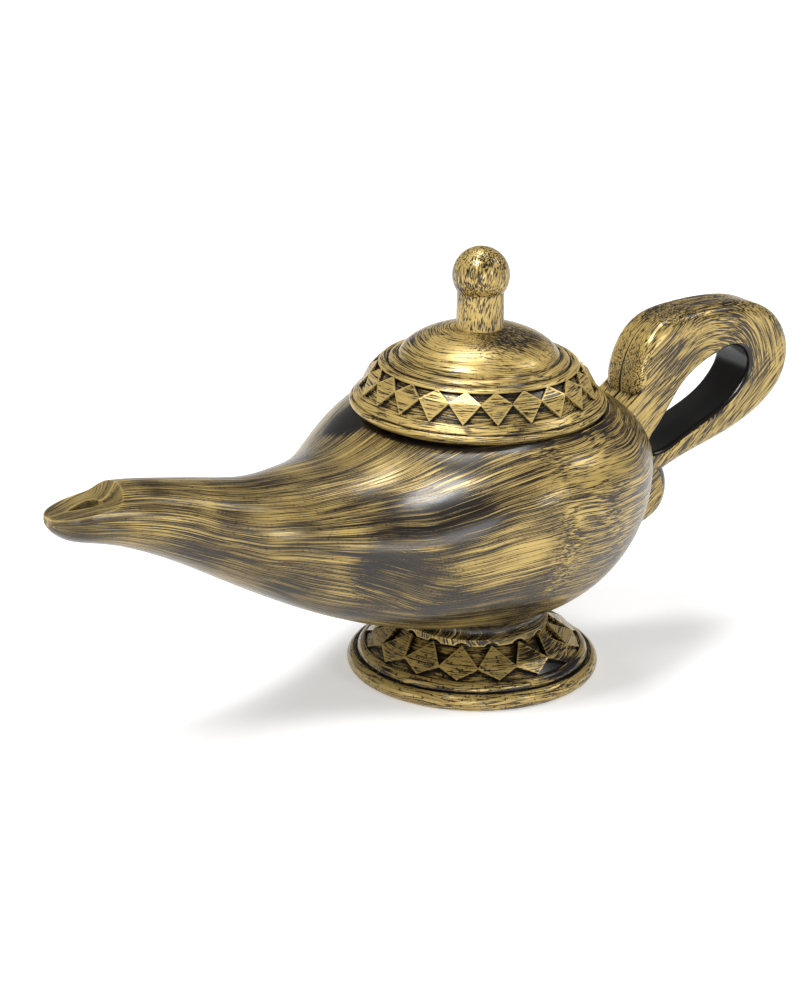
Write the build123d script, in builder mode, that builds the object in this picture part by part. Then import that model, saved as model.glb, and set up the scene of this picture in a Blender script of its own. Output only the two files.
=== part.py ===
from build123d import *
from math import cos, hypot, pi, sin
import os

# Genie oil lamp in millimetres, +Z up. It is drawn about the axis of bowl, lid and foot, with the
# handle along +X, the spout along -X and the moulding seam in the plane Y = 0. At the end every
# piece moves along X, so that the origin is under the middle of the whole length.
os.makedirs("parts", exist_ok=True)

# Walls and clearances
wall = 2.2
rim_extra = 2.8
root_gap = 0.1
slip_gap = 0.3
peg_gap = 0.08
spigot_gap = 0.2

# Foot, from the table to the face that carries the bowl
foot_height = 15.0
foot_radius = 36.3

# Bowl, its heights follow from the foot
bowl_radius = 50.0
floor_rise = 1.5
belly_depth = 45.5
shoulder_rise = 23.5
widest_height = foot_height + floor_rise + belly_depth
arch_share = 1.6
shoulder_shares = (0.936, 0.5)
belly_shares = (0.658, 0.531)
round_shares = (0.594, 0.544)

# Cross sections from the bowl's axis to the tip of the spout. Reach and half width are shares of
# the bowl's radius. A height over the widest one is a share of the shoulder's rise, and one under it
# a share of the belly's depth.
reach_shares = (0.06, 0.3, 0.6, 0.9, 1.2, 1.5, 1.8, 2.1, 2.4, 2.6, 2.72, 2.77, 2.79)
width_shares = (0.998, 0.96, 0.846, 0.664, 0.49, 0.36, 0.29, 0.238, 0.192, 0.168, 0.12, 0.074, 0.038)
top_shares = (1, 0.9362, 0.7532, 0.4723, 0.4085, 0.417, 0.5319, 0.6596, 0.7574, 0.766, 0.7234, 0.6638, 0.6128)
middle_shares = (
    -0.0044,
    -0.0549,
    -0.1692,
    -0.2418,
    -0.211,
    -0.1407,
    -0.0242,
    0.1915,
    0.366,
    0.3872,
    0.4085,
    0.434,
    0.4638,
)
bottom_shares = (
    -0.9978,
    -0.9692,
    -0.9143,
    -0.8198,
    -0.6857,
    -0.5165,
    -0.3275,
    -0.1407,
    0.0128,
    0.1404,
    0.2383,
    0.3277,
    0.3872,
)
fullness_shares = (1, 0.85, 0.5, 0.2, 0, 0, 0, 0, 0, 0, 0, 0, 0)

# Hollow of the spout's end, in the same shares. Up to the first reach the hollow follows the outside.
channel_start_share = 2.0
channel_reach_shares = (2.36, 2.54, 2.68)
channel_width_shares = (0.148, 0.12, 0.072)
channel_top_shares = (0.5362, 0.4638, 0.4128)
channel_middle_shares = (0.3319, 0.3362, 0.3404)
channel_bottom_shares = (0.0936, 0.2213, 0.2894)

# Lip at the tip of the spout, in the same shares
lip_back_shares = (-2.368, 0.783)
lip_bend_shares = (-2.416, 0.6553)
lip_foot_shares = (-2.51, 0.5617)
lip_tip_shares = (-2.85, 0.4851)
hole_tip_share = 2.676
hole_belly_share = 2.532
hole_back_share = 2.476
hole_width_share = 0.07

# Mouth of the bowl and the seat of the lid
mouth_share = 0.65
land_share = 0.74
seat_share = 0.7319
mouth_radius = bowl_radius * mouth_share
land_radius = bowl_radius * land_share
seat_height = widest_height + shoulder_rise * seat_share

# Neck under the bowl, its radii are shares of the foot's radius
skirt_share = 0.5956
skirt_edge = 0.9
hem_drop = 1.0
scallop_radius = 2.6
scallop_sink = 1.5
neck_share = 0.5273
neck_rise = 3.4
bore_share = 0.4699
neck_root_share = 0.5792
neck_root_rise = 5.9
neck_inner_rise = 5.4

# Foot, outline in shares of its radius and its height
foot_edge_shares = (0.9563, 0)
foot_roll_shares = (1, 0.1467)
roll_top_shares = (0.9536, 0.3267)
foot_groove_shares = (0.918, 0.3067)
foot_bead_shares = (0.9098, 0.4067)
bead_top_shares = (0.8634, 0.4867)
foot_band_shares = ((0.8443, 0.4667), (0.765, 0.6133), (0.5738, 0.88))
hub_shares = ((0.5355, 0.88), (0.5355, 1))
foot_hollow_shares = (
    (0.4208, 0.9333),
    (0.4481, 0.8667),
    (0.5301, 0.7267),
    (0.6721, 0.5733),
    (0.7814, 0.3467),
    (0.8852, 0.1733),
    (0.9071, 0),
)
foot_diamonds = 16
foot_diamond_shares = ((0.8579, 0.5067), (0.7951, 0.6867), (0.5984, 0.9533))
foot_diamond_turn = 0.0

# Lid, outline in shares of the mouth's radius and of the lid's rise over its seat
lid_rise = 23.8
lid_seat_shares = (1.0769, 0)
rim_low_shares = (1.0862, 0.021)
rim_shares = (1.12, 0.063)
rim_high_shares = (1.0862, 0.1092)
flare_shares = ((1.0892, 0.1345), (1.0277, 0.2101))
lid_band_shares = ((1.0031, 0.2185), (0.9169, 0.4076), (0.8492, 0.4958))
ring_low_shares = (0.8738, 0.5252)
ring_crest_shares = (0.84, 0.563)
ring_groove_shares = (0.7908, 0.5504)
dome_ring_crest_shares = (0.7538, 0.6176)
dome_edge_shares = (0.7046, 0.6176)
dome_pull_shares = ((0.6615, 0.8151), (0.3415, 1), (0, 1))
lid_hollow_shares = ((0.6338, 0.521), (0.7446, 0.4496), (0.8492, 0.3361), (0.9231, 0.1429))
hollow_crown_shares = ((0, 0.8824), (0.3077, 0.8824), (0.5969, 0.7395))
lid_skirt_depth = 4.6
lid_diamonds = 22
lid_diamond_shares = ((1.0431, 0.2143), (0.9569, 0.4244), (0.8708, 0.5378))
lid_diamond_turn = -3.3
diamond_depth = 1.7
diamond_overlap = 0.12

# Knob, standing in a flat seat just under the dome's top
stem_seat_drop = 0.6
stem_length = 6.7
ball_radius = 8.1
stem_share = 0.8148
stem_foot_share = 0.8333
stem_end_share = 0.53
peg_radius = 3.6
peg_depth = 4.2
stem_seat_height = seat_height + lid_rise - stem_seat_drop
ball_height = stem_seat_height + stem_length + ball_radius

# Handle, outlines in the plane of the seam, in the shares of the cross sections
handle_half_width = 8.2
handle_outer_round = 4.0
handle_inner_round = 1.8
handle_start_shares = (0.88, 0.2553)
handle_outer_shares = (
    (1.04, 0.5021),
    (1.08, 0.9957),
    (1.206, 1.3191),
    (1.46, 1.4532),
    (1.762, 1.4532),
    (2.052, 1.2936),
    (2.216, 0.8766),
    (2.203, 0.3702),
    (2.024, -0.0088),
    (1.768, -0.133),
    (1.3, -0.2835),
)
handle_lobe_shares = (
    (1.3, -0.2835),
    (1.322, -0.4044),
    (1.292, -0.5231),
    (1.196, -0.6088),
    (0.92, -0.6505),
)
handle_end_shares = (0.76, -0.6154)
handle_inner_shares = (
    (1.2, -0.1407),
    (1.342, -0.1099),
    (1.484, -0.0374),
    (1.622, 0.0468),
    (1.766, 0.2085),
    (1.856, 0.3872),
    (1.904, 0.5957),
    (1.878, 0.7915),
    (1.772, 0.9021),
    (1.664, 0.8596),
    (1.516, 0.7362),
    (1.388, 0.5362),
    (1.286, 0.2511),
    (1.204, 0.0255),
    (1.158, -0.0879),
)
root_peg_radius = 2.4
root_peg_length = 12.0
root_peg_shares = ((1.06, 0.1702), (0.98, -0.4396))

# Locating pins between the two halves
pin_radius = 1.3
pin_reach = 2.6
socket_extra = 0.3
handle_pin_shares = ((1.18, 1.0213), (2.07, 0.5745), (1.2, -0.4176))
bowl_pin_shares = ((0.54, -0.7824), (-0.48, -0.8593))
bowl_boss_radius = 3.4
bowl_boss_length = 7.0
foot_pin_shares = ((0.2869, 0.84), (-0.2869, 0.84))
foot_boss_radius = 2.6
foot_boss_length = 5.0


def level(share):
    """Height over the table, from a share of the shoulder's rise or, below zero, of the belly's depth."""
    return widest_height + share * (shoulder_rise if share > 0 else belly_depth)


def side_point(shares):
    """X and Z of a spot in the plane of the seam."""
    return (bowl_radius * shares[0], level(shares[1]))


def foot_point(shares):
    """Radius and height of a spot of the foot's outline."""
    return (foot_radius * shares[0], foot_height * shares[1])


def lid_point(shares):
    """Radius and height of a spot of the lid's outline."""
    return (mouth_radius * shares[0], seat_height + lid_rise * shares[1])


def arch(width, rise, middle, pulls):
    """Control points of one smooth arch over or under a cross section, side to side."""
    side_pull, crown_pull = pulls
    shoulder = middle + rise * side_pull
    crown = middle + rise * (arch_share - side_pull / 2)
    return [
        (-width, middle),
        (-width, shoulder),
        (-crown_pull * width, crown),
        (crown_pull * width, crown),
        (width, shoulder),
        (width, middle),
    ]


def first_half(points):
    """Control points of an arch's first half, from its side to the axis."""
    kept = [points[0]]
    while len(points) > 1:
        points = [((p[0] + q[0]) / 2, (p[1] + q[1]) / 2) for p, q in zip(points, points[1:])]
        kept.append(points[0])
    return kept[:-1] + [(0, kept[-1][1])]


def blend(pulls, share):
    """Pulls of a rounder or a fuller arch, from round to the given ones."""
    return [low + (high - low) * share for low, high in zip(round_shares, pulls)]


def round_bowl(inset, ceiling):
    """Rear half of the bowl, turned about the axis, set in by a distance all round."""
    width = bowl_radius - inset
    upper = first_half(arch(width, shoulder_rise - ceiling, widest_height, shoulder_shares))
    lower = first_half(arch(width, inset - belly_depth, widest_height, belly_shares))
    with BuildPart() as body:
        with BuildSketch(Plane.YZ):
            with BuildLine():
                Bezier(*upper)
                Line(upper[-1], lower[-1])
                Bezier(*reversed(lower))
            make_face()
        revolve(axis=Axis.Z, revolution_arc=180)
    return body.part


def sized(shares, fullness_share):
    """Reach, half width, top, middle, bottom and fullness of one cross section."""
    reach, width, top, middle, bottom = shares
    return bowl_radius * reach, bowl_radius * width, level(top), level(middle), level(bottom), fullness_share


def sections(inset, hollow):
    """Cross sections of the bowl's front and the spout, outside or hollow."""
    found = [sized((0, 1, 1, 0, -1), 1)]
    outside = zip(reach_shares, width_shares, top_shares, middle_shares, bottom_shares)
    found += [sized(shares, fullness) for shares, fullness in zip(outside, fullness_shares)]
    if not hollow:
        return found
    channel_start = bowl_radius * channel_start_share
    kept = []
    for reach, width, top, middle, bottom, fullness in found:
        if reach < channel_start:
            ceiling = inset + rim_extra * fullness
            kept.append((reach, width - inset, top - ceiling, middle, bottom + inset, fullness))
    channel = zip(
        channel_reach_shares,
        channel_width_shares,
        channel_top_shares,
        channel_middle_shares,
        channel_bottom_shares,
    )
    return kept + [sized(shares, 0) for shares in channel]


def vessel(inset, hollow):
    """Bowl and spout as one solid: lofted in front of the axis and turned behind it."""
    with BuildPart() as body:
        for reach, width, top, middle, bottom, fullness in sections(inset, hollow):
            with BuildSketch(Plane.YZ.offset(-reach)):
                with BuildLine():
                    Bezier(*arch(width, top - middle, middle, blend(shoulder_shares, fullness)))
                    Bezier(*reversed(arch(width, bottom - middle, middle, blend(belly_shares, fullness))))
                make_face()
        loft()
        add(round_bowl(inset, inset + rim_extra if hollow else inset))
    return body.part


def rod(place, radius, start, end):
    """Round rod across the seam, from one Y to another, at an X and Z."""
    with BuildPart() as body:
        with BuildSketch(Plane.XZ.offset(-start)):
            with Locations(place):
                Circle(radius)
        extrude(amount=start - end)
    return body.part


def diamond(low, side, high, count):
    """One diamond of a band, pointing along +X, folded where its neighbours touch it."""
    half = pi / count
    middle = (side[0] * cos(half), side[1])
    rise = high[1] - low[1]
    run = low[0] - high[0]
    length = hypot(rise, run)
    along = ((low[0] - middle[0]) * run + (middle[1] - low[1]) * rise) / length
    width = side[0] * sin(half) + diamond_overlap
    inward = (-diamond_depth * rise / length, -diamond_depth * run / length)
    with BuildPart() as body:
        with BuildSketch(Plane.XZ):
            with BuildLine():
                Polyline(
                    low,
                    middle,
                    high,
                    (high[0] + inward[0], high[1] + inward[1]),
                    (low[0] + inward[0], low[1] + inward[1]),
                    close=True,
                )
            make_face()
        extrude(amount=2 * width, both=True)
        face = Plane(origin=(low[0], 0, low[1]), x_dir=(-run, 0, rise), z_dir=(rise, 0, run))
        with BuildSketch(face):
            with BuildLine():
                Polyline((0, 0), (along, width), (length, 0), (along, -width), close=True)
            make_face()
        extrude(amount=2 * diamond_depth, both=True, mode=Mode.INTERSECT)
    return body.part


# Outside of bowl, spout and neck
skirt_radius = foot_radius * skirt_share
neck_radius = foot_radius * neck_share
neck_bore = foot_radius * bore_share
neck_root = (foot_radius * neck_root_share, foot_height + neck_root_rise)
hem_height = foot_height - hem_drop
hem_radius = foot_radius * hub_shares[0][0] + slip_gap
with BuildPart() as scallop:
    with Locations((skirt_radius, 0, hem_height - scallop_sink)):
        Cylinder(scallop_radius, 2 * (skirt_radius - hem_radius), rotation=(0, 90, 0))
with BuildPart() as bowl:
    add(vessel(0, False))
    with BuildSketch(Plane.YZ):
        with BuildLine():
            Polyline(
                neck_root,
                (neck_bore, foot_height + neck_inner_rise),
                (neck_bore, foot_height),
                (hem_radius, foot_height),
                (hem_radius, hem_height),
                (skirt_radius, hem_height),
                (skirt_radius, foot_height + skirt_edge),
            )
            Bezier(
                (skirt_radius, foot_height + skirt_edge),
                (neck_radius, foot_height + 2 * skirt_edge),
                (neck_radius, foot_height + neck_rise),
                neck_root,
            )
        make_face()
    revolve(axis=Axis.Z)
    # Scallops in the skirt's hem, one over each diamond of the foot
    with PolarLocations(0, foot_diamonds, start_angle=foot_diamond_turn):
        add(scallop.part, mode=Mode.SUBTRACT)
    # Lip of the spout, cut to a long flat face that turns up at its back
    lip_back = side_point(lip_back_shares)
    lip_bend = side_point(lip_bend_shares)
    lip_foot = side_point(lip_foot_shares)
    lip_tip = side_point(lip_tip_shares)
    clear_height = widest_height + shoulder_rise
    with BuildSketch(Plane.XZ):
        with BuildLine():
            Polyline(lip_back, (lip_back[0], clear_height), (lip_tip[0], clear_height), lip_tip, lip_foot)
            Bezier(lip_foot, (lip_bend[0], lip_foot[1]), lip_bend, lip_back)
        make_face()
    extrude(amount=bowl_radius, both=True, mode=Mode.SUBTRACT)
    # Hollow of bowl and spout
    add(vessel(wall, True), mode=Mode.SUBTRACT)
    # Mouth and the flat land the lid rests on
    with BuildSketch(Plane.XY.offset(seat_height)):
        Circle(land_radius)
    extrude(amount=shoulder_rise, mode=Mode.SUBTRACT)
    with BuildSketch(Plane.XY.offset(widest_height)):
        Circle(mouth_radius)
    extrude(amount=shoulder_rise, mode=Mode.SUBTRACT)
    # Pointed hole in the lip
    hole_tip = -bowl_radius * hole_tip_share
    hole_belly = -bowl_radius * hole_belly_share
    hole_back = -bowl_radius * hole_back_share
    hole_half_width = bowl_radius * hole_width_share
    with BuildSketch(Plane.XY.offset(level(channel_bottom_shares[-1]))):
        with BuildLine():
            Bezier(
                (hole_tip, 0),
                (hole_belly, hole_half_width),
                (hole_back, hole_half_width),
                (hole_back, 0),
            )
            Bezier(
                (hole_back, 0),
                (hole_back, -hole_half_width),
                (hole_belly, -hole_half_width),
                (hole_tip, 0),
            )
        make_face()
    extrude(amount=shoulder_rise, mode=Mode.SUBTRACT)
    # Holes for the pegs of the handle
    for place in [side_point(shares) for shares in root_peg_shares]:
        with Locations((place[0], 0, place[1])):
            Cylinder(root_peg_radius + peg_gap, 2 * root_peg_length, rotation=(0, 90, 0), mode=Mode.SUBTRACT)
    # Bosses that carry the locating pins
    bowl_pins = [side_point(shares) for shares in bowl_pin_shares]
    for place in bowl_pins:
        add(rod(place, bowl_boss_radius, -bowl_boss_length, bowl_boss_length))

with BuildPart() as bowl_near:
    add(bowl.part)
    split(bisect_by=Plane.XZ, keep=Keep.TOP)
    for place in bowl_pins:
        add(rod(place, pin_radius, -pin_reach, pin_reach))

with BuildPart() as bowl_far:
    add(bowl.part)
    split(bisect_by=Plane.XZ, keep=Keep.BOTTOM)
    for place in bowl_pins:
        add(rod(place, pin_radius + peg_gap, 0, pin_reach + socket_extra), mode=Mode.SUBTRACT)

# Foot with its band of diamonds
foot_diamond = diamond(*[foot_point(shares) for shares in foot_diamond_shares], foot_diamonds)
foot_edge = foot_point(foot_edge_shares)
roll_top = foot_point(roll_top_shares)
foot_groove = foot_point(foot_groove_shares)
bead_top = foot_point(bead_top_shares)
spigot_radius = neck_bore - spigot_gap
spigot_height = foot_height + floor_rise - slip_gap
foot_hollow = [foot_point(shares) for shares in foot_hollow_shares]
foot_pins = [foot_point(shares) for shares in foot_pin_shares]
with BuildPart() as foot:
    with BuildSketch(Plane.YZ):
        with BuildLine():
            ThreePointArc(foot_edge, foot_point(foot_roll_shares), roll_top)
            Line(roll_top, foot_groove)
            ThreePointArc(foot_groove, foot_point(foot_bead_shares), bead_top)
            Polyline(
                bead_top,
                *[foot_point(shares) for shares in foot_band_shares + hub_shares],
                (spigot_radius, foot_height),
                (spigot_radius, spigot_height),
                (0, spigot_height),
                (0, foot_hollow[0][1]),
                *foot_hollow,
                foot_edge,
            )
        make_face()
    revolve(axis=Axis.Z)
    with PolarLocations(0, foot_diamonds, start_angle=foot_diamond_turn):
        add(foot_diamond)
    for place in foot_pins:
        add(rod(place, foot_boss_radius, -foot_boss_length, foot_boss_length))

with BuildPart() as foot_near:
    add(foot.part)
    split(bisect_by=Plane.XZ, keep=Keep.TOP)
    for place in foot_pins:
        add(rod(place, pin_radius, -pin_reach, pin_reach))

with BuildPart() as foot_far:
    add(foot.part)
    split(bisect_by=Plane.XZ, keep=Keep.BOTTOM)
    for place in foot_pins:
        add(rod(place, pin_radius + peg_gap, 0, pin_reach + socket_extra), mode=Mode.SUBTRACT)

# Half of the handle on the near side
handle_start = side_point(handle_start_shares)
handle_end = side_point(handle_end_shares)
handle_outer = [side_point(shares) for shares in handle_outer_shares]
handle_lobe = [side_point(shares) for shares in handle_lobe_shares]
handle_inner = [side_point(shares) for shares in handle_inner_shares]
handle_pins = [side_point(shares) for shares in handle_pin_shares]
root_pegs = [side_point(shares) for shares in root_peg_shares]
with BuildPart() as handle:
    with BuildSketch(Plane.XZ):
        with BuildLine():
            Line(handle_start, handle_outer[0])
            Spline(*handle_outer)
            Spline(*handle_lobe)
            Line(handle_lobe[-1], handle_end)
            Line(handle_end, handle_start)
        make_face()
        with BuildLine():
            Spline(*handle_inner, periodic=True)
        make_face(mode=Mode.SUBTRACT)
    extrude(amount=handle_half_width)
    near_edges = handle.edges().group_by(Axis.Y)[0]
    opening = near_edges.filter_by(lambda edge: edge.is_closed)
    outside = near_edges.filter_by(GeomType.BSPLINE) - opening
    fillet(outside, handle_outer_round)
    opening = handle.edges().group_by(Axis.Y)[0].filter_by(lambda edge: edge.is_closed)
    fillet(opening, handle_inner_round)
    add(round_bowl(-root_gap, -root_gap), mode=Mode.SUBTRACT)

with BuildPart() as handle_near:
    add(handle.part)
    for place in root_pegs:
        with Locations((place[0], 0, place[1])):
            Cylinder(root_peg_radius, root_peg_length, rotation=(0, 90, 0))
    split(bisect_by=Plane.XZ, keep=Keep.TOP)
    for place in handle_pins:
        add(rod(place, pin_radius, -pin_reach, pin_reach))

with BuildPart() as handle_far:
    add(handle.part)
    mirror(about=Plane.XZ, mode=Mode.REPLACE)
    for place in root_pegs:
        with Locations((place[0], 0, place[1])):
            Cylinder(root_peg_radius, root_peg_length, rotation=(0, 90, 0))
    split(bisect_by=Plane.XZ, keep=Keep.BOTTOM)
    for place in handle_pins:
        add(rod(place, pin_radius + peg_gap, 0, pin_reach + socket_extra), mode=Mode.SUBTRACT)

# Lid with its band of diamonds
lid_diamond = diamond(*[lid_point(shares) for shares in lid_diamond_shares], lid_diamonds)
rim_low = lid_point(rim_low_shares)
rim_high = lid_point(rim_high_shares)
ring_low = lid_point(ring_low_shares)
ring_groove = lid_point(ring_groove_shares)
dome_edge = lid_point(dome_edge_shares)
dome_pulls = [lid_point(shares) for shares in dome_pull_shares]
hollow_crown = [lid_point(shares) for shares in hollow_crown_shares]
lid_hollow = [lid_point(shares) for shares in lid_hollow_shares]
skirt_outside = mouth_radius - slip_gap
with BuildPart() as lid:
    with BuildSketch(Plane.XZ):
        with BuildLine():
            Polyline((skirt_outside, seat_height), lid_point(lid_seat_shares), rim_low)
            ThreePointArc(rim_low, lid_point(rim_shares), rim_high)
            Polyline(rim_high, *[lid_point(shares) for shares in flare_shares + lid_band_shares], ring_low)
            ThreePointArc(ring_low, lid_point(ring_crest_shares), ring_groove)
            ThreePointArc(ring_groove, lid_point(dome_ring_crest_shares), dome_edge)
            Bezier(dome_edge, *dome_pulls)
            Line(dome_pulls[-1], hollow_crown[0])
            Bezier(*hollow_crown, lid_hollow[0])
            Polyline(
                *lid_hollow,
                (skirt_outside - wall, seat_height - lid_skirt_depth),
                (skirt_outside, seat_height - lid_skirt_depth),
                (skirt_outside, seat_height),
            )
        make_face()
    revolve(axis=Axis.Z)
    with PolarLocations(0, lid_diamonds, start_angle=lid_diamond_turn):
        add(lid_diamond)
    # Flat seat and hole for the knob
    with BuildSketch(Plane.XY.offset(stem_seat_height)):
        Circle(mouth_radius)
    extrude(amount=lid_rise, mode=Mode.SUBTRACT)
    with BuildSketch(Plane.XY.offset(seat_height)):
        Circle(peg_radius + peg_gap)
    extrude(amount=lid_rise, mode=Mode.SUBTRACT)

# Knob
stem_end = ball_height - ball_radius * stem_end_share
with BuildPart() as knob:
    with BuildSketch(Plane.XZ):
        with BuildLine():
            Polyline(
                (0, stem_seat_height - peg_depth),
                (peg_radius, stem_seat_height - peg_depth),
                (peg_radius, stem_seat_height),
                (ball_radius * stem_foot_share, stem_seat_height),
                (ball_radius * stem_share, stem_end),
                (0, stem_end),
                close=True,
            )
        make_face()
    revolve(axis=Axis.Z)
    with Locations((0, 0, ball_height)):
        Sphere(ball_radius)

# Hand over every piece, moved so that the origin is under the middle of the length
pieces = {
    "bowl_near": bowl_near,
    "bowl_far": bowl_far,
    "foot_near": foot_near,
    "foot_far": foot_far,
    "handle_near": handle_near,
    "handle_far": handle_far,
    "lid": lid,
    "knob": knob,
}
boxes = [piece.part.bounding_box() for piece in pieces.values()]
middle = (min(box.min.X for box in boxes) + max(box.max.X for box in boxes)) / 2
for name, piece in pieces.items():
    shape = piece.part.moved(Location((-middle, 0, 0)))
    shape.label = name
    export_step(shape, f"parts/{name}.step")
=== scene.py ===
import math

import bpy
from mathutils import Matrix, Vector


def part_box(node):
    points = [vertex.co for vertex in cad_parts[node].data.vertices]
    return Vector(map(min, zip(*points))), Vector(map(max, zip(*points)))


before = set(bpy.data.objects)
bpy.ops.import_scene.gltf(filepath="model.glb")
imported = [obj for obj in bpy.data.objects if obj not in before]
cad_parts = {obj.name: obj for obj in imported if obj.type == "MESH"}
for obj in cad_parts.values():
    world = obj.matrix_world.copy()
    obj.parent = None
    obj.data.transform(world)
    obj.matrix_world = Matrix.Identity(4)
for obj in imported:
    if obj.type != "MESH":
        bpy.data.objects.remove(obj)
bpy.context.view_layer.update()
scene = bpy.context.scene
mm = 0.001


def linear(part):
    """Linear value of one sRGB part."""
    return part / 12.92 if part <= 0.04045 else ((part + 0.055) / 1.055) ** 2.4


def colour(text):
    """Linear colour of an sRGB hex value."""
    return tuple(linear(int(text[i:i + 2], 16) / 255) for i in (1, 3, 5)) + (1,)


def add(tree, kind, inputs=(), **settings):
    """Adds a node with its settings; inputs maps its sockets to values or to other outputs."""
    node = tree.nodes.new("ShaderNode" + kind)
    for name, value in settings.items():
        setattr(node, name, value)
    for place, value in dict(inputs).items():
        if isinstance(value, bpy.types.NodeSocket):
            tree.links.new(value, node.inputs[place])
        else:
            node.inputs[place].default_value = value
    return node


# The axis of bowl, lid and foot, where the knob's box has its middle, in millimetres
knob_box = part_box("knob")
axis_x = (knob_box[0].x + knob_box[1].x) / 2 / mm

# Camera: the lamp is seen from the spout's side and from a little above, through a long lens.
camera_turn = math.radians(-36)
camera_rise = math.radians(20.2)
camera_roll = math.radians(0.9)
# Spot that the camera is set from, then how far back, left and up it stands, in millimetres
camera_base = Vector((axis_x, 0, 1.62))
camera_back, camera_left, camera_up = 930.23, 20.872, 46.163

back = Vector((
    math.sin(camera_turn) * math.cos(camera_rise),
    -math.cos(camera_turn) * math.cos(camera_rise),
    math.sin(camera_rise),
))
level = Vector((math.cos(camera_turn), math.sin(camera_turn), 0))
steep = back.cross(level)
right = level * math.cos(camera_roll) + steep * math.sin(camera_roll)
up = steep * math.cos(camera_roll) - level * math.sin(camera_roll)
camera_data = bpy.data.cameras.new("camera")
camera_data.sensor_width = 36
camera_data.lens = 115.55
camera_data.clip_start = 0.01
camera_data.clip_end = 50
camera = bpy.data.objects.new("camera", camera_data)
camera_spot = camera_base + back * camera_back - right * camera_left + up * camera_up
camera_frame = Matrix((right, up, back)).transposed().to_4x4()
camera.matrix_world = Matrix.Translation(camera_spot * mm) @ camera_frame
scene.collection.objects.link(camera)
scene.camera = camera
scene.view_settings.view_transform = "Standard"

# Studio: soft panels, with place and size in metres and power in watts, all turned to the lamp
panels = {
    "key": ((-0.5, -0.12, 1.02), (0.34, 0.3), 8.5),
    "overhead": ((0.08, 0.28, 1.1), (0.45, 0.3), 5.0),
    "front": ((0.2, -1.2, 0.45), (0.36, 0.36), 3.6),
    "front_left": ((-0.6, -1.0, 0.26), (0.5, 0.3), 2.6),
    "right_high": ((0.75, -0.35, 0.9), (0.25, 0.3), 1.5),
    "left_side": ((-1.3, 0.05, 0.2), (0.25, 0.5), 1.2),
}
lamp_middle = Vector((axis_x * mm, 0, 0.06))
for name, (spot, size, power) in panels.items():
    light = bpy.data.lights.new(name, "AREA")
    light.shape = "RECTANGLE"
    light.size, light.size_y = size
    light.energy = power
    panel = bpy.data.objects.new(name, light)
    panel.location = spot
    panel.rotation_euler = (lamp_middle - Vector(spot)).to_track_quat("-Z", "Y").to_euler()
    scene.collection.objects.link(panel)

# The room lights the lamp more from the horizon than from overhead. The camera sees it white.
horizon_light, overhead_light = 0.7, 0.16
horizon_height, overhead_height = 0.02, 0.18
world = bpy.data.worlds.new("studio")
world.use_nodes = True
scene.world = world
sky = world.node_tree
direction = add(sky, "SeparateXYZ", {0: add(sky, "TexCoord").outputs["Generated"]})
dimmer = add(
    sky,
    "MapRange",
    {
        0: direction.outputs["Z"],
        1: horizon_height,
        2: overhead_height,
        3: horizon_light,
        4: overhead_light,
    },
    interpolation_type="SMOOTHSTEP",
)
seen = add(sky, "LightPath").outputs["Is Camera Ray"]
strength = add(sky, "Math", {0: dimmer.outputs[0], 1: seen}, operation="MAXIMUM")
sky.links.new(strength.outputs[0], sky.nodes["Background"].inputs["Strength"])
sky.nodes["Background"].inputs["Color"].default_value = (1, 1, 1, 1)

# Floor: matt white paper that keeps the lamp's shadow. For the camera and in reflections it is
# lifted towards white, and less so near the lamp. All measures are in metres.
floor_half = 4.0
near_reach, far_reach = 0.2, 0.9
near_glow, far_glow = 0.42, 0.8
corners = [(x * floor_half, y * floor_half, 0) for x, y in ((-1, -1), (1, -1), (1, 1), (-1, 1))]
floor_mesh = bpy.data.meshes.new("floor")
floor_mesh.from_pydata(corners, [], [(0, 1, 2, 3)])
floor = bpy.data.objects.new("floor", floor_mesh)
scene.collection.objects.link(floor)
paper = bpy.data.materials.new("white_paper")
paper.use_nodes = True
tree = paper.node_tree
tree.nodes.clear()
reach = add(tree, "VectorMath", {0: add(tree, "TexCoord").outputs["Object"]}, operation="LENGTH")
glow = add(
    tree,
    "MapRange",
    {0: reach.outputs["Value"], 1: near_reach, 2: far_reach, 3: near_glow, 4: far_glow},
    interpolation_type="SMOOTHSTEP",
)
path = add(tree, "LightPath").outputs
seen = add(tree, "Math", {0: path["Is Camera Ray"], 1: path["Is Glossy Ray"]}, operation="MAXIMUM")
through = {0: seen.outputs[0], 1: path["Is Transmission Ray"]}
seen = add(tree, "Math", through, operation="MAXIMUM")
strength = add(tree, "Math", {0: seen.outputs[0], 1: glow.outputs[0]}, operation="MULTIPLY")
matt = add(tree, "BsdfDiffuse", {"Color": colour("#E6E6E6")})
shine = add(tree, "Emission", {"Color": (1, 1, 1, 1), "Strength": strength.outputs[0]})
both = add(tree, "AddShader", {0: matt.outputs[0], 1: shine.outputs[0]})
add(tree, "OutputMaterial", {"Surface": both.outputs[0]})
floor_mesh.materials.append(paper)

# Paint: injection-moulded plastic, black and semi-gloss, dry-brushed with gold paint. The brush
# leaves fine bristle lines and bare streaks, misses grooves and pits, and catches raised edges.
bare_plastic = colour("#130F0B")
gold_film = colour("#382A13")
thin_gold = colour("#86703A")
full_gold = colour("#CBAF68")
plastic_roughness, gold_roughness = 0.26, 0.31
# The paint is taken as metallic flakes in a clear binder, so it is only partly metal
gold_metal = 0.35
coat_weight, coat_roughness = 0.12, 0.12
paint_thickness, relief_strength = 0.08, 0.8

# What decides on the paint is a sum of shares: bristle lines, wider strokes, the brush's load, and
# what edges gain. Its ranges run from where film, paint and full depth begin to where all is there.
fine_share, wide_share, load_share, edge_gain = 1.0, 0.24, 0.34, 0.2
film_range = (0.36, 0.46)
paint_range = (0.46, 0.54)
depth_range = (0.5, 0.64)
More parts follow.
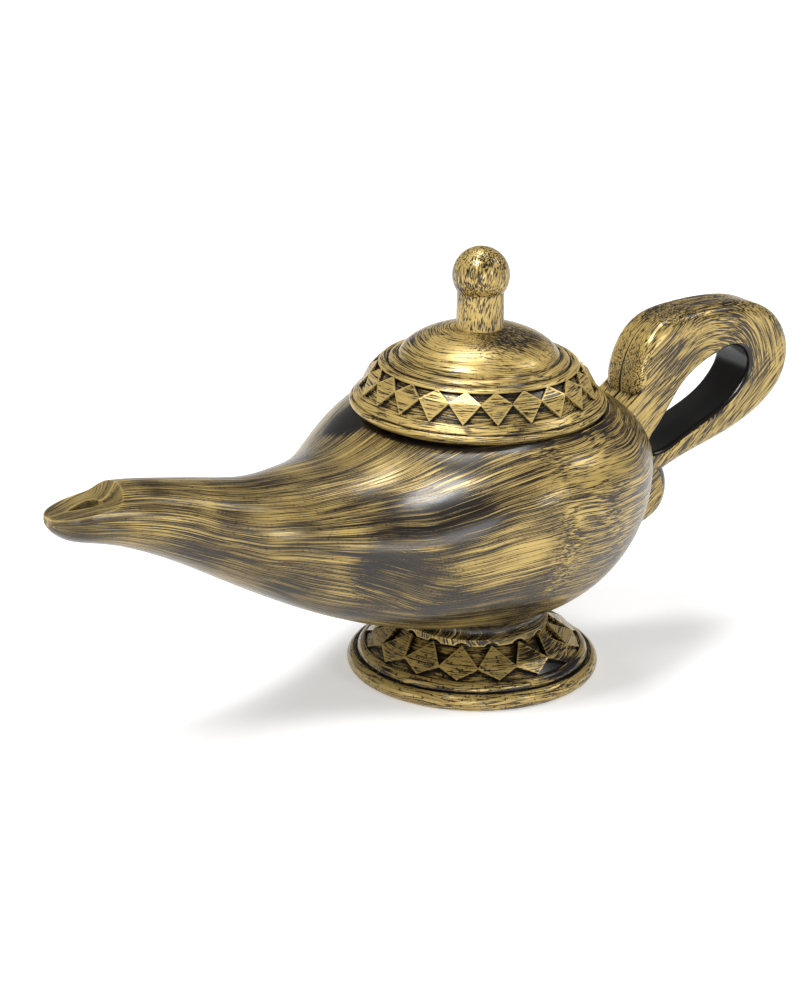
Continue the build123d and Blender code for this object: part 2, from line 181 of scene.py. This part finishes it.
# Scales of noise per millimetre, and the range of the specks' noise that is skipped
drift_scale, load_scale, speck_scale = 0.03, 0.06, 1.1
speck_range = (0.36, 0.42)
# How far the drift swings a stroke from end to end, in millimetres
drift_swing = 5.0
# Steps that give each course of strokes a noise of its own
fine_seed, wide_seed, first_wide_seed = 3.7, 5.1, 40
# How far a groove and an edge are felt, in millimetres, and the openness inside an edge
groove_reach, edge_reach = 2.6, 0.8
edge_range = (0.5, 0.95)
ray_samples = 8
# Faces turned to a middle by this much, in millimetres, are bare, and from the second on painted
wall_range = (-2.5, 2.0)

# Heights over the table, in millimetres, from which the spots of each piece are given
bowl_height, foot_height, lid_height, knob_height = 62.0, 0.0, 79.0, 110.0

# Section that the strokes turn round on bowl and spout: reach from the axis towards the tip, half
# width, height of the turning point over bowl_height, and half height, in millimetres. The half
# widths are the bowl's radius and then the design widths of the solid's sections, but for the last
# row, which lies past the tip. Both heights are rounded. They lead the strokes and aren't
# the body's own middle.
flow = (
    (0, 50, 0, 34),
    (15, 48, -1, 33),
    (30, 42.3, -4, 30),
    (45, 33.2, -7.5, 26),
    (60, 24.5, -8, 20),
    (75, 18, -5.5, 16),
    (90, 14.5, -0.7, 13),
    (105, 11.9, 4.8, 11),
    (120, 9.6, 9, 9),
    (140, 8.0, 11, 7),
)


def curve(tree, reach, column):
    """One column of the flow, read at a reach. The curve runs from 0 to 1, and 0.5 means none."""
    highest = max(abs(row[column]) for row in flow)
    share = add(tree, "Math", {0: reach, 1: 1 / flow[-1][0]}, operation="MULTIPLY")
    node = add(tree, "FloatCurve", {"Value": share.outputs[0]})
    line = node.mapping.curves[0]
    rows = [(row[0] / flow[-1][0], 0.5 + row[column] / highest / 2) for row in flow]
    for count, spot in enumerate(rows):
        if count < 2:
            line.points[count].location = spot
        else:
            line.points.new(*spot)
    node.mapping.update()
    centred = add(tree, "Math", {0: node.outputs[0], 1: 0.5}, operation="SUBTRACT")
    measure = {0: centred.outputs[0], 1: 2 * highest}
    return add(tree, "Math", measure, operation="MULTIPLY").outputs[0]


def distance(tree, spot, plane):
    """Distance from nought in a plane, given as a vector with ones for its two directions."""
    flat = add(tree, "VectorMath", {0: spot, 1: plane}, operation="MULTIPLY")
    return add(tree, "VectorMath", {0: flat.outputs[0]}, operation="LENGTH").outputs["Value"]


def drawn(tree, spot, course):
    """
    Coordinates that change slowly along a course of strokes, and those that cross it.

    ("round",): round the axis of bowl, lid and foot
    ("loop", middle): round a middle in the plane of the seam
    ("flow", size, tilt): along bowl and spout, with the way round their section laid on a circle
        of a size in millimetres, or at a tilt in degrees to that
    ("straight", direction): along a direction
    """
    kind, *details = course
    parts = add(tree, "SeparateXYZ", {0: spot}).outputs
    if kind == "round":
        return (parts["X"], parts["Y"]), (distance(tree, spot, (1, 1, 0)), parts["Z"])
    if kind == "loop":
        away = add(tree, "VectorMath", {0: spot, 1: details[0]}, operation="SUBTRACT")
        radius = distance(tree, away.outputs[0], (1, 0, 1))
        return (parts["X"], parts["Z"]), (radius, parts["Y"])
    if kind == "flow":
        size, tilt = details
        reach = add(tree, "Math", {0: parts["X"], 1: -1.0}, operation="MULTIPLY").outputs[0]
        width, turning, tall = [curve(tree, reach, column) for column in (1, 2, 3)]
        side = add(tree, "Math", {0: parts["Y"], 1: width}, operation="DIVIDE")
        lift = add(tree, "Math", {0: parts["Z"], 1: turning}, operation="SUBTRACT")
        lift = add(tree, "Math", {0: lift.outputs[0], 1: tall}, operation="DIVIDE")
        # Only the way round the section counts, so the lines keep along the spout
        way = add(tree, "CombineXYZ", {0: side.outputs[0], 1: lift.outputs[0]})
        way = add(tree, "VectorMath", {0: way.outputs[0]}, operation="NORMALIZE")
        way = add(tree, "VectorMath", {0: way.outputs[0], "Scale": size}, operation="SCALE")
        way = add(tree, "SeparateXYZ", {0: way.outputs[0]}).outputs
        if not tilt:
            return (parts["X"],), (way["X"], way["Y"])
        flat = add(tree, "CombineXYZ", {0: parts["X"], 2: way["Y"]})
        tilted = {0: flat.outputs[0], "Angle": math.radians(tilt)}
        turned = add(tree, "VectorRotate", tilted, rotation_type="Y_AXIS")
        parts = add(tree, "SeparateXYZ", {0: turned.outputs[0]}).outputs
        return (parts["X"],), (parts["Z"],)
    aim = Vector(details[0]).to_track_quat("X", "Z").to_euler()
    turned = add(tree, "Mapping", {"Vector": spot, "Rotation": aim}, vector_type="TEXTURE")
    parts = add(tree, "SeparateXYZ", {0: turned.outputs[0]}).outputs
    return (parts["X"],), (parts["Y"], parts["Z"])


def field(tree, place, size, seed):
    """Noise drawn out along the strokes, in strokes of a length and a width in millimetres."""
    scaled = []
    for values, measure in zip(place, size):
        for value in values:
            moved = {0: value, 1: 1 / measure, 2: seed}
            scaled.append(add(tree, "Math", moved, operation="MULTIPLY_ADD").outputs[0])
    at = add(tree, "CombineXYZ", dict(enumerate(scaled[:3])))
    inputs = {"Vector": at.outputs[0], "Scale": 1.0, "Detail": 1.0, "Roughness": 0.55}
    if len(scaled) > 3:
        inputs["W"] = scaled[3]
    dimensions = "4D" if len(scaled) > 3 else "3D"
    return add(tree, "TexNoise", inputs, noise_dimensions=dimensions).outputs[0]


def patch(tree, spot, centre, reach, start=0.35):
    """Share of a soft patch: one up to the start of its reach in millimetres, none past it."""
    place = {"Vector": spot, "Location": centre, "Scale": reach}
    near = add(tree, "Mapping", place, vector_type="TEXTURE")
    away = add(tree, "VectorMath", {0: near.outputs[0]}, operation="LENGTH")
    fade = {0: away.outputs["Value"], 1: start, 2: 1.0, 3: 1.0, 4: 0.0}
    return add(tree, "MapRange", fade, interpolation_type="SMOOTHSTEP").outputs[0]


def ramp(tree, value, span, low=0.0, high=1.0, **settings):
    """Value that runs from low to high while another one crosses a span."""
    inputs = {0: value, 1: span[0], 2: span[1], 3: low, 4: high}
    return add(tree, "MapRange", inputs, **settings).outputs[0]


def brushed(
    name,
    height,
    courses,
    cover,
    bristle,
    stroke,
    patches=(),
    recess=0.6,
    specks=0.08,
    seam=None,
    gap=None,
    inner=None,
):
    """
    Brushed finish of one piece, from a sum that decides on the paint at each spot.

    height: height over the table from which its spots are given
    courses: ways that the brush went; each after the first is laid in a patch of its own
    cover: share of the surface that takes paint, roughly
    bristle, stroke: length and width of the bristle lines and of the wider strokes
    patches: change of the sum, middle, reach and, where given, start of the fade
    recess, specks: how much grooves and specks lose
    seam: half width of the joint between two halves, and change of the sum there
    gap: heights between which that joint narrows, and its half width at the lower one
    inner: middle of an opening or hollow with a bare wall, and how far that holds
    """
    material = bpy.data.materials.new(name)
    material.use_nodes = True
    tree = material.node_tree
    tree.nodes.clear()

    # Spot in millimetres, from the axis and the piece's own height
    place = {
        "Vector": add(tree, "TexCoord").outputs["Object"],
        "Location": (-axis_x, 0, -height),
        "Scale": (1 / mm, 1 / mm, 1 / mm),
    }
    spot = add(tree, "Mapping", place).outputs[0]

    # The hand wanders, so the strokes bend a little
    drift = add(tree, "TexNoise", {"Vector": spot, "Scale": drift_scale, "Detail": 1.0})
    half = (0.5, 0.5, 0.5)
    swing = add(tree, "VectorMath", {0: drift.outputs["Color"], 1: half}, operation="SUBTRACT")
    swung = {0: swing.outputs[0], 1: (drift_swing, drift_swing, drift_swing), 2: spot}
    bent = add(tree, "VectorMath", swung, operation="MULTIPLY_ADD").outputs[0]

    # Bristle lines and wider strokes, each course laid over the ones before it
    fine = wide = None
    for count, (course, where) in enumerate(courses):
        place = drawn(tree, bent, course)
        lines = field(tree, place, bristle, fine_seed * count)
        bands = field(tree, place, stroke, wide_seed * count + first_wide_seed)
        if fine is None:
            fine, wide = lines, bands
        else:
            laid = patch(tree, spot, *where)
            fine = add(tree, "Mix", {0: laid, 2: fine, 3: lines}).outputs[0]
            wide = add(tree, "Mix", {0: laid, 2: wide, 3: bands}).outputs[0]
    load = add(tree, "TexNoise", {"Vector": spot, "Scale": load_scale, "Detail": 2.0}).outputs[0]

    # Each noise lies round a half, so half of each share comes off the cover
    total = cover - fine_share / 2 - wide_share / 2 - load_share / 2
    terms = [(fine, fine_share), (wide, wide_share), (load, load_share)]
    terms += [(patch(tree, spot, *where), amount) for amount, *where in patches]

    # Grooves stay bare, raised edges take paint
    nearby = {"Distance": groove_reach * mm}
    open_air = add(tree, "AmbientOcclusion", nearby, samples=ray_samples, only_local=True)
    hollow = add(tree, "Math", {0: open_air.outputs["AO"], 1: 1.0}, operation="SUBTRACT")
    terms.append((hollow.outputs[0], recess))
    nearby = {"Distance": edge_reach * mm}
    solid = add(tree, "AmbientOcclusion", nearby, samples=ray_samples, only_local=True, inside=True)
    terms.append((ramp(tree, solid.outputs["AO"], edge_range, edge_gain, 0.0), 1.0))

    # Fine specks that the paint skips
    grain = {"Vector": spot, "Scale": speck_scale, "Detail": 3.0, "Roughness": 0.6}
    speck = add(tree, "TexNoise", grain).outputs[0]
    terms.append((ramp(tree, speck, speck_range, -specks, 0.0), 1.0))

    # The joint between two halves, a line in the plane of the seam
    if seam:
        half_width, amount = seam
        parts = add(tree, "SeparateXYZ", {0: spot}).outputs
        if gap:
            low, high, wider = gap
            half_width = ramp(tree, parts["Z"], (low, high), wider, half_width)
        off = add(tree, "Math", {0: parts["Y"]}, operation="ABSOLUTE")
        joint = add(tree, "Math", {0: off.outputs[0], 1: half_width}, operation="LESS_THAN")
        terms.append((joint.outputs[0], amount))

    # The walls of the handle's opening and of the bowl's inside are bare: they face its middle
    if inner:
        middle, within = inner
        outward = add(tree, "VectorMath", {0: spot, 1: middle}, operation="SUBTRACT")
        sides = {0: outward.outputs[0], 1: add(tree, "NewGeometry").outputs["Normal"]}
        facing = add(tree, "VectorMath", sides, operation="DOT_PRODUCT").outputs["Value"]
        hidden = ramp(tree, facing, wall_range, -1.0, 0.0)
        terms.append((hidden, patch(tree, spot, (middle[0], 0.0, 0.0), within, 0.95)))

    for value, amount in terms:
        term = {0: value, 1: amount, 2: total}
        total = add(tree, "Math", term, operation="MULTIPLY_ADD").outputs[0]

    # From the sum to bare plastic, film, thin paint and full paint
    paint = ramp(tree, total, paint_range, interpolation_type="SMOOTHSTEP")
    film = ramp(tree, total, film_range)
    depth = ramp(tree, total, depth_range)
    ground = add(tree, "Mix", {0: film, 6: bare_plastic, 7: gold_film}, data_type="RGBA").outputs[2]
    gold = add(tree, "Mix", {0: depth, 6: thin_gold, 7: full_gold}, data_type="RGBA").outputs[2]
    tint = add(tree, "Mix", {0: paint, 6: ground, 7: gold}, data_type="RGBA").outputs[2]
    metal = add(tree, "Math", {0: paint, 1: gold_metal}, operation="MULTIPLY").outputs[0]
    raised = {"Strength": relief_strength, "Distance": paint_thickness * mm, "Height": paint}
    shader = add(
        tree,
        "BsdfPrincipled",
        {
            "Base Color": tint,
            "Metallic": metal,
            "Roughness": ramp(tree, paint, (0.0, 1.0), plastic_roughness, gold_roughness),
            "Coat Weight": coat_weight,
            "Coat Roughness": coat_roughness,
            "Normal": add(tree, "Bump", raised).outputs[0],
        },
    )
    add(tree, "OutputMaterial", {"Surface": shader.outputs[0]})
    return material


# All spots, reaches and heights are in millimetres, from the axis and the piece's own height.
handle_opening = (79.0, 0.0, 9.0)
finishes = {
    # Long strokes along bowl and spout, and round the axis near the handle. The circles get
    # smaller towards the tip, so that the strokes don't get too fine there.
    "bowl": brushed(
        "gold_brushed_bowl",
        height=bowl_height,
        cover=0.475,
        bristle=(18.0, 0.22),
        stroke=(32.0, 0.8),
        courses=[
            (("flow", 46, 0), None),
            (("flow", 34, 0), ((-80.0, 0.0, 0.0), (38.0, 90.0, 90.0), 0.6)),
            (("flow", 22, 0), ((-120.0, 0.0, 0.0), (34.0, 90.0, 90.0), 0.6)),
            (("round",), ((30.0, 0.0, 0.0), (48.0, 200.0, 200.0), 0.7)),
            (("flow", 46, -28), ((-46.0, -30.0, -17.0), (20.0, 22.0, 13.0))),
        ],
        patches=[
            # Dark smears on the near side, and the darker underside
            (-0.11, (-36.0, -34.0, 0.5), (28.0, 20.0, 9.0)),
            (-0.12, (-48.0, -29.0, -13.0), (21.0, 17.0, 10.0)),
            (-0.16, (-26.0, -28.0, 13.5), (10.0, 9.0, 4.0)),
            (-0.07, (-36.0, -34.0, -26.0), (50.0, 26.0, 10.0)),
            # Fuller gold on the ridge and on the belly
            (0.09, (-40.0, -18.0, 9.5), (20.0, 12.0, 5.5)),
            (0.08, (-24.0, -43.5, -11.5), (22.0, 14.0, 12.0)),
            (0.05, (0.0, -48.0, 2.0), (28.0, 18.0, 20.0)),
            # Bare plastic on the far side of the lid. Under its rim, a dark band that is partly
            # bare plastic and partly painted shade from the rim
            (-0.35, (-34.0, 16.0, 15.0), (11.0, 12.0, 8.0)),
            (-0.3, (0.0, 0.0, 17.0), (39.5, 39.5, 5.0), 0.92),
        ],
        specks=0.05,
        # The photograph shows no joint here that can be told from strokes, so this one is a guess
        seam=(0.07, -0.12),
        inner=((0.0, 0.0, -8.0), (50.0, 50.0, 37.0)),
    ),
    # Strokes round the foot, with bare plastic on the near right of its bead and diamonds
    "foot": brushed(
        "gold_brushed_foot",
        height=foot_height,
        cover=0.58,
        bristle=(8.0, 0.3),
        stroke=(14.0, 1.6),
        courses=[(("round",), None)],
        patches=[
            (-0.3, (10.0, -31.0, 7.5), (15.0, 7.0, 3.2)),
            (-0.16, (6.0, -24.0, 13.0), (14.0, 9.0, 6.0)),
        ],
        specks=0.2,
        seam=(0.1, -0.3),
    ),
    # Short strokes up the handle and round its bend, thinner on top. Its joint is wider low down.
    "handle": brushed(
        "gold_brushed_handle",
        height=bowl_height,
        cover=0.55,
        bristle=(9.0, 0.3),
        stroke=(11.0, 1.6),
        courses=[
            (("straight", (0.7, 0.0, 0.6)), None),
            (("loop", handle_opening), ((92.0, 0.0, 28.0), (34.0, 40.0, 24.0))),
        ],
        patches=[(-0.1, (76.0, 0.0, 35.0), (28.0, 16.0, 7.0))],
        seam=(0.1, -0.6),
        gap=(12.0, 31.0, 0.5),
        inner=(handle_opening, (60.0, 60.0, 60.0)),
    ),
    # Strokes round the lid, slanting ones over a worn patch high on the dome's near right, and
    # fuller gold on its near left
    "lid": brushed(
        "gold_brushed_lid",
        height=lid_height,
        cover=0.57,
        bristle=(12.0, 0.26),
        stroke=(16.0, 1.0),
        courses=[
            (("round",), None),
            (("straight", (0.7, -0.5, -0.35)), ((4.0, -11.0, 22.0), (22.0, 16.0, 14.0))),
        ],
        patches=[
            (-0.12, (5.0, -12.0, 22.0), (14.0, 10.0, 6.0)),
            (0.06, (-9.0, -19.0, 17.0), (12.0, 10.0, 8.0)),
        ],
        recess=0.45,
    ),
    # Dabs up stem and ball
    "knob": brushed(
        "gold_brushed_knob",
        height=knob_height,
        cover=0.56,
        bristle=(3.0, 0.4),
        stroke=(5.0, 2.6),
        courses=[(("straight", (0.2, 0.1, 1.0)), None)],
    ),
}
for name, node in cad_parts.items():
    finish = finishes[name.split("_")[0]]
    if node.material_slots:
        for slot in node.material_slots:
            slot.material = finish
    else:
        node.data.materials.append(finish)

bpy.context.view_layer.update()
